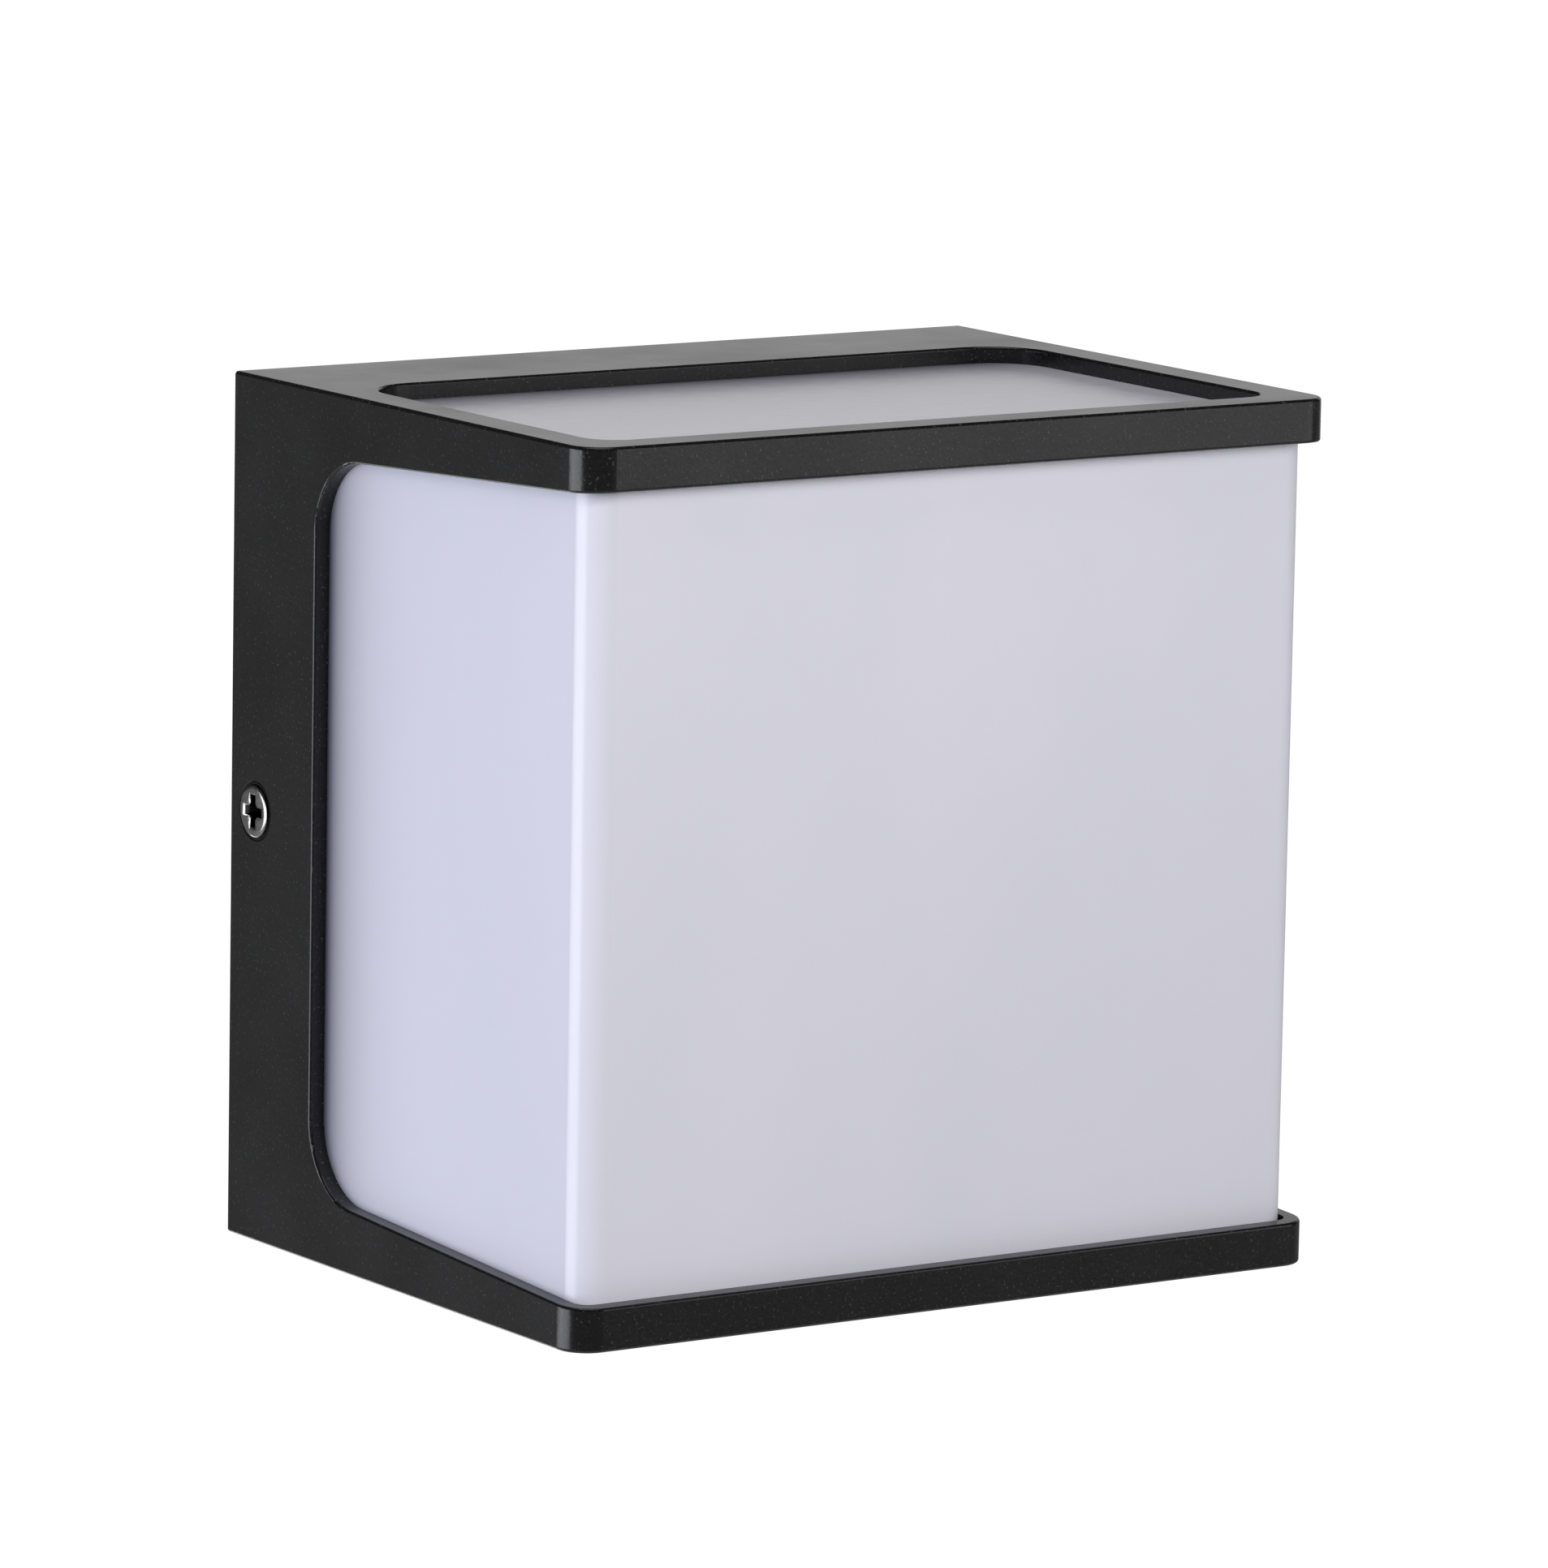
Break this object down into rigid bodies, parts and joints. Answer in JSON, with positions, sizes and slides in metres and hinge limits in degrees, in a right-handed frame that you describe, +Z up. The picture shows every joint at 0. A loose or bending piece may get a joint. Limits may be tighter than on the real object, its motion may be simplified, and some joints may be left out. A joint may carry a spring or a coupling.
{
  "type": "wall lantern",
  "caption": "Cube-shaped outdoor wall light: a black die-cast frame round an opal diffuser box with LEDs, clipped over a steel wall bracket and held by countersunk side screws.",
  "frame": {"origin": "centre of the lantern's back, on the wall's surface and midway between the wall-screw slots", "axes": "+X to the right as seen from the front, +Y into the wall (the front faces -Y), +Z up"},
  "size_m": [0.1214, 0.09, 0.12],
  "materials": {
    "powder_coat": "fine-textured semi-matt black powder coat",
    "opal": "opal polycarbonate, satin",
    "silicone": "soft translucent silicone",
    "black_rubber": "matt EPDM rubber",
    "foam": "closed-cell foam",
    "cast_aluminium": "as-cast, shot-blasted",
    "zinc_plated_sheet": "zinc-plated pressed sheet",
    "white_sheet": "white powder coat",
    "stainless": "turned and rolled stainless steel",
    "zinc_plated_screw": "zinc-plated",
    "white_solder_mask": "white solder mask on an aluminium core",
    "led_phosphor": "phosphor-filled silicone in a white package",
    "white_nylon": "natural nylon",
    "driver_plastic": "fine spark-eroded texture",
    "circuit_board": "green solder mask",
    "ferrite": "sintered ferrite with a taped winding",
    "capacitor_sleeve": "shrink sleeve",
    "brown_insulation": "PVC",
    "blue_insulation": "PVC",
    "red_insulation": "PVC",
    "black_insulation": "PVC",
    "earth_insulation": "green PVC with a yellow stripe",
    "brass": "drawn, bright",
    "tinned_copper": "tin-plated"
  },
  "bodies": {
    "wall_side": {"wall_bracket": "zinc_plated_sheet", "wall_gasket": "foam", "cable_grommet": "black_rubber"},
    "lamp_head": {"housing": "powder_coat", "diffuser": "opal", "diffuser_gasket": "silicone", "lead_grommet": "black_rubber", "rear_tray": "cast_aluminium", "gear_cover": "white_sheet", "tray_screws": "zinc_plated_screw", "cover_screws": "zinc_plated_screw", "led_board_screws": "zinc_plated_screw", "driver_screws": "zinc_plated_screw", "terminal_fixing_screws": "zinc_plated_screw", "terminal_screws": "zinc_plated_screw", "earth_screw": "zinc_plated_screw", "led_board": "white_solder_mask", "led_chips": "led_phosphor", "led_connector": "white_nylon", "terminal_block": "white_nylon", "driver_case": "driver_plastic", "driver_lid": "driver_plastic", "driver_board": "circuit_board", "driver_transformer": "ferrite", "driver_choke": "ferrite", "driver_capacitors": "capacitor_sleeve", "lead_live": "brown_insulation", "lead_neutral": "blue_insulation", "lead_positive": "red_insulation", "lead_negative": "black_insulation", "earth_lead": "earth_insulation", "terminal_clamps": "brass", "earth_ring": "tinned_copper"},
    "left_screw_seal": {"screw_seal_left": "black_rubber"},
    "left_screw": {"side_screw_left": "stainless"},
    "right_screw_seal": {"screw_seal_right": "black_rubber"},
    "right_screw": {"side_screw_right": "stainless"}
  },
  "joints": [
    {"name": "head_pull_off", "type": "slide", "parent": "wall_side", "child": "lamp_head", "axis": [0, -1, 0], "range_m": [0, 0.04]},
    {"name": "left_screw_travel", "type": "slide", "parent": "lamp_head", "child": "left_screw_seal", "axis": [-1, 0, 0], "range_m": [0, 0.0056]},
    {"name": "left_screw_turn", "type": "hinge", "parent": "left_screw_seal", "child": "left_screw", "pos_m": [-0.06, -0.0067, 0], "axis": [-1, 0, 0], "range_deg": [0, 2880]},
    {"name": "right_screw_travel", "type": "slide", "parent": "lamp_head", "child": "right_screw_seal", "axis": [1, 0, 0], "range_m": [0, 0.0056]},
    {"name": "right_screw_turn", "type": "hinge", "parent": "right_screw_seal", "child": "right_screw", "pos_m": [0.06, -0.0067, 0], "axis": [1, 0, 0], "range_deg": [0, 2880]}
  ],
  "couplings": [
    {"joint": "left_screw_turn", "follows": "left_screw_travel", "rad_per_m": 8976},
    {"joint": "right_screw_turn", "follows": "right_screw_travel", "rad_per_m": 8976}
  ]
}
